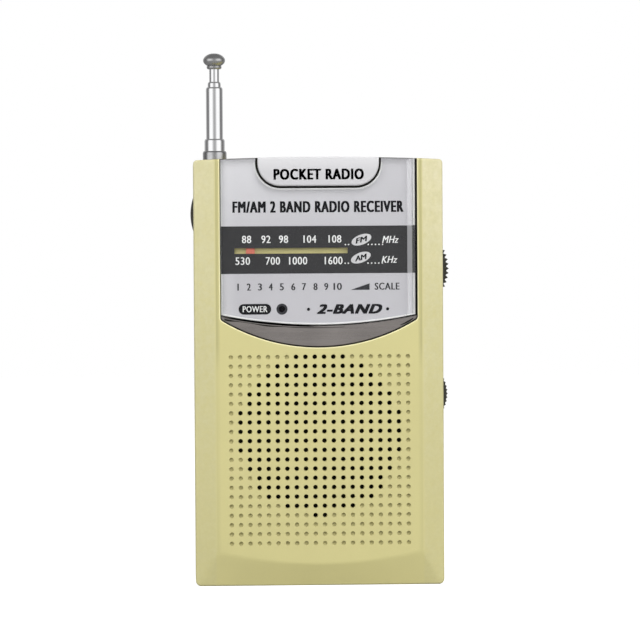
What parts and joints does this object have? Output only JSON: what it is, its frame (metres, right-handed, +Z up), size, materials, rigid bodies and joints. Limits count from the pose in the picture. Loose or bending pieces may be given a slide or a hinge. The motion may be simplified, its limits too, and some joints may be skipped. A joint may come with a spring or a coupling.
{
  "type": "transistor pocket radio",
  "caption": "Upright pocket radio with a drilled speaker grille, a dial behind a clear plate, edge wheels for tuning and volume, and a telescopic aerial.",
  "frame": {"origin": "middle of the flat base that the radio stands on", "axes": "+X to the right seen from the front, +Y from the front to the back, +Z up; the grille faces -Y"},
  "size_m": [0.0724, 0.0281, 0.1491],
  "materials": {
    "cream_plastic": "moulded cream plastic with a satin sheen",
    "black_plastic": "moulded black plastic",
    "white_plastic": "moulded off-white plastic",
    "clear_plastic": "clear polished acrylic",
    "printed_scale": "silver sheet with printed black scales",
    "badge_metal": "brushed silver",
    "dark_trim": "dark satin metallic",
    "black_cloth": "fine black cloth",
    "bright_screw": "zinc plated",
    "aerial_chrome": "bright chrome plate",
    "brass_shaft": "plain brass",
    "capacitor_case": "cloudy clear plastic over metal vanes",
    "red_plastic": "moulded red plastic",
    "cord_white": "waxed dial cord",
    "control_body": "brown laminate and black cover",
    "switch_can": "tinned steel",
    "basket_steel": "zinc plated pressed steel",
    "cone_paper": "black pulp paper",
    "coil_copper": "enamelled copper winding",
    "magnet_steel": "zinc plated yoke",
    "board_laminate": "brown phenolic laminate",
    "chip_body": "black epoxy with tinned legs",
    "electrolytic_sleeve": "blue shrink sleeve",
    "ceramic_body": "dipped ceramic",
    "resistor_body": "lacquered film resistor",
    "ferrite": "dark ground ferrite",
    "contact_nickel": "nickel plated spring steel",
    "wire_red": "red insulation",
    "wire_black": "black insulation",
    "gasket_felt": "dark foam"
  },
  "bodies": {
    "case": {"front_cabinet": "cream_plastic", "rear_cabinet": "cream_plastic", "case_screws": "bright_screw", "dial_lens": "clear_plastic", "dial_scale": "printed_scale", "badge_plate": "badge_metal", "crescent_trim": "dark_trim", "grille_cloth": "black_cloth", "variable_capacitor": "capacitor_case", "dial_cord": "cord_white", "idler_pins": "bright_screw", "volume_control": "control_body", "band_switch": "switch_can", "earphone_jack": "black_plastic", "power_led": "red_plastic", "power_led_leads": "bright_screw", "speaker_gasket": "gasket_felt", "speaker_basket": "basket_steel", "speaker_cone": "cone_paper", "speaker_dust_cap": "cone_paper", "voice_coil": "coil_copper", "speaker_magnet": "magnet_steel", "speaker_washers": "bright_screw", "speaker_screws": "bright_screw", "circuit_board": "board_laminate", "board_screws": "bright_screw", "receiver_chip": "chip_body", "if_transformers": "switch_can", "electrolytic_capacitors": "electrolytic_sleeve", "ceramic_capacitors": "ceramic_body", "resistors": "resistor_body", "ferrite_rod": "ferrite", "ferrite_coils": "coil_copper", "ferrite_holders": "white_plastic", "battery_contact_left": "contact_nickel", "battery_contact_plus": "contact_nickel", "battery_contact_bridge": "contact_nickel", "battery_wires": "wire_red", "speaker_wires": "wire_black", "aerial_section_1": "aerial_chrome", "aerial_base": "white_plastic", "aerial_screw": "bright_screw", "aerial_wire": "wire_black"},
    "battery_door": {"battery_door": "cream_plastic"},
    "tuning": {"tuning_wheel": "black_plastic", "tuning_screw": "bright_screw", "capacitor_shaft": "brass_shaft"},
    "idler_upper": {"idler_upper": "white_plastic"},
    "idler_lower": {"idler_lower": "white_plastic"},
    "pointer": {"dial_pointer": "red_plastic"},
    "volume": {"volume_wheel": "black_plastic", "volume_screw": "bright_screw", "volume_shaft": "brass_shaft"},
    "band": {"band_knob": "black_plastic", "band_switch_lever": "black_plastic"},
    "aerial_2": {"aerial_section_2": "aerial_chrome"},
    "aerial_3": {"aerial_section_3": "aerial_chrome"},
    "aerial_4": {"aerial_section_4": "aerial_chrome"},
    "aerial_tip": {"aerial_rod": "aerial_chrome", "aerial_cap": "aerial_chrome"}
  },
  "joints": [
    {"name": "tuning_turn", "type": "hinge", "parent": "case", "child": "tuning", "pos_m": [0.0243, -0.0043, 0.0883], "axis": [0, 1, 0], "range_deg": [-9, 171]},
    {"name": "pointer_slide", "type": "slide", "parent": "case", "child": "pointer", "axis": [1, 0, 0], "range_m": [-0.00125, 0.0234]},
    {"name": "idler_upper_turn", "type": "hinge", "parent": "case", "child": "idler_upper", "pos_m": [-0.0272, -0.0085, 0.0935], "axis": [0, 1, 0], "range_deg": [-30, 516]},
    {"name": "idler_lower_turn", "type": "hinge", "parent": "case", "child": "idler_lower", "pos_m": [-0.0272, -0.0085, 0.0831], "axis": [0, 1, 0], "range_deg": [-30, 516]},
    {"name": "volume_turn", "type": "hinge", "parent": "case", "child": "volume", "pos_m": [0.0268, -0.0042, 0.0531], "axis": [0, 1, 0], "range_deg": [0, 280]},
    {"name": "band_slide", "type": "slide", "parent": "case", "child": "band", "axis": [0, 0, 1], "range_m": [-0.0025, 0]},
    {"name": "battery_door_slide", "type": "slide", "parent": "case", "child": "battery_door", "axis": [0, 0, -1], "range_m": [0, 0.036]},
    {"name": "aerial_slide_2", "type": "slide", "parent": "case", "child": "aerial_2", "axis": [0, 0, 1], "range_m": [-0.003, 0.06]},
    {"name": "aerial_slide_3", "type": "slide", "parent": "aerial_2", "child": "aerial_3", "axis": [0, 0, 1], "range_m": [-0.0141, 0.051]},
    {"name": "aerial_slide_4", "type": "slide", "parent": "aerial_3", "child": "aerial_4", "axis": [0, 0, 1], "range_m": [-0.0011, 0.064]},
    {"name": "aerial_slide_5", "type": "slide", "parent": "aerial_4", "child": "aerial_tip", "axis": [0, 0, 1], "range_m": [-0.0031, 0.062]}
  ],
  "couplings": [
    {"joint": "pointer_slide", "follows": "tuning_turn", "m_per_rad": 0.0078},
    {"joint": "idler_upper_turn", "follows": "tuning_turn", "ratio": 3},
    {"joint": "idler_lower_turn", "follows": "tuning_turn", "ratio": 3}
  ]
}
